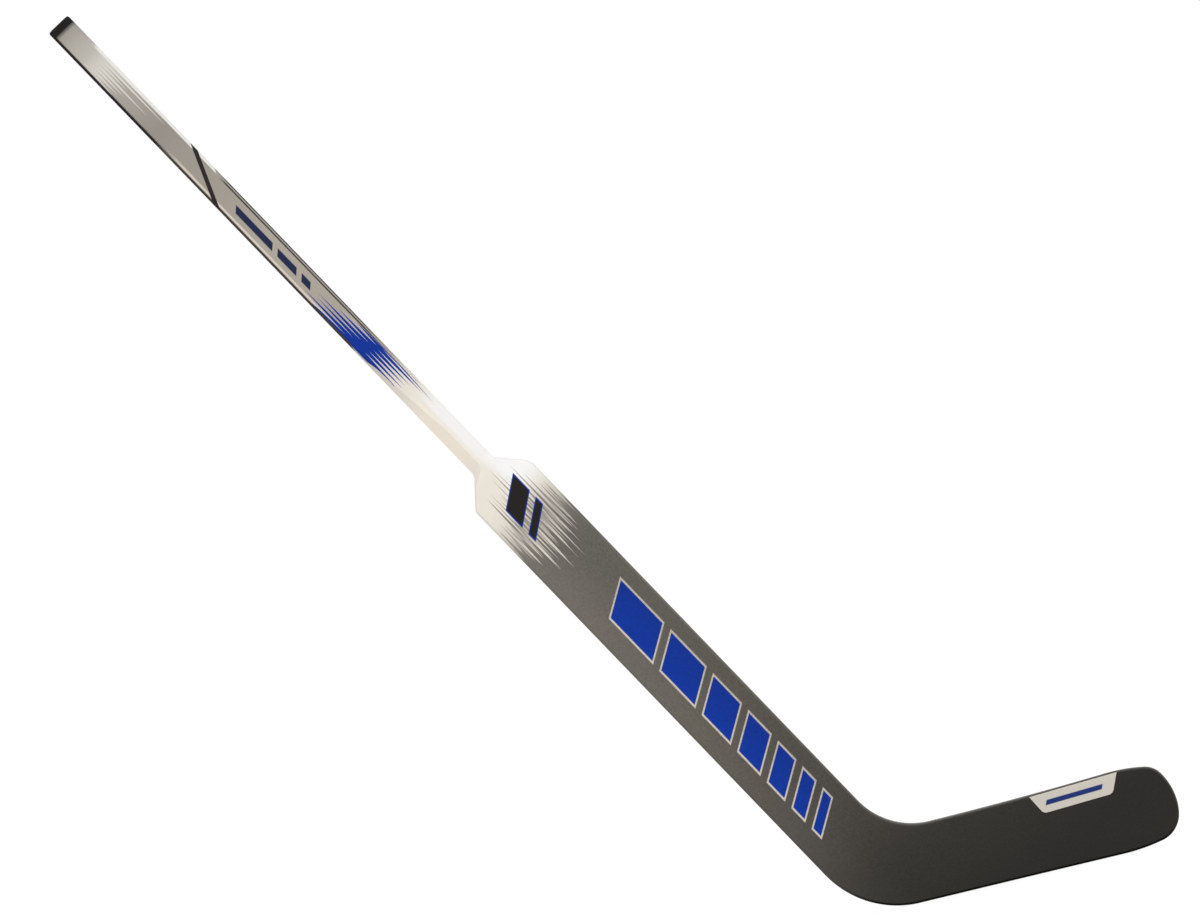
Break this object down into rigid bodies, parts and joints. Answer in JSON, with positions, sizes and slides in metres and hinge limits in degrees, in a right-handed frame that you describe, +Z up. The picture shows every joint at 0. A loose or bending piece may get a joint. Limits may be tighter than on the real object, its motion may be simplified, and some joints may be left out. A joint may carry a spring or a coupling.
{
  "type": "hockey goalie stick",
  "caption": "Ice hockey goalie stick with a hollow shaft, five-sided neck, wide paddle and a curved blade, laminate skins over foam cores.",
  "frame": {"origin": "on the flat sole of the blade, half way between the heel corner and the toe, in the shaft's mid-plane", "axes": "+Z up from the sole, +X along the sole to the toe, -Y out of the face that meets the puck; the shaft leans back to -X"},
  "size_m": [1.0053, 0.0302, 1.1678],
  "materials": {
    "shaft_paint": "satin silver paint over carbon laminate",
    "skin_paint": "satin graphite paint over carbon laminate",
    "plug_plastic": "moulded black plastic",
    "bare_laminate": "bare woven carbon",
    "core_foam": "cut closed-cell foam",
    "label_film": "printed film"
  },
  "bodies": {
    "stick": {"shaft_tube": "shaft_paint", "front_skin": "skin_paint", "back_skin": "skin_paint", "paddle_spar": "bare_laminate", "paddle_core_heel_side": "core_foam", "paddle_core_toe_side": "core_foam", "heel_core": "core_foam", "blade_core_lower": "core_foam", "blade_bridge": "bare_laminate", "blade_core_upper": "core_foam", "blade_label": "label_film"},
    "plug": {"butt_plug": "plug_plastic"}
  },
  "joints": [
    {"name": "plug_slide", "type": "slide", "parent": "stick", "child": "plug", "axis": [-0.5045, 0, 0.8634], "range_m": [0, 0.045]}
  ]
}
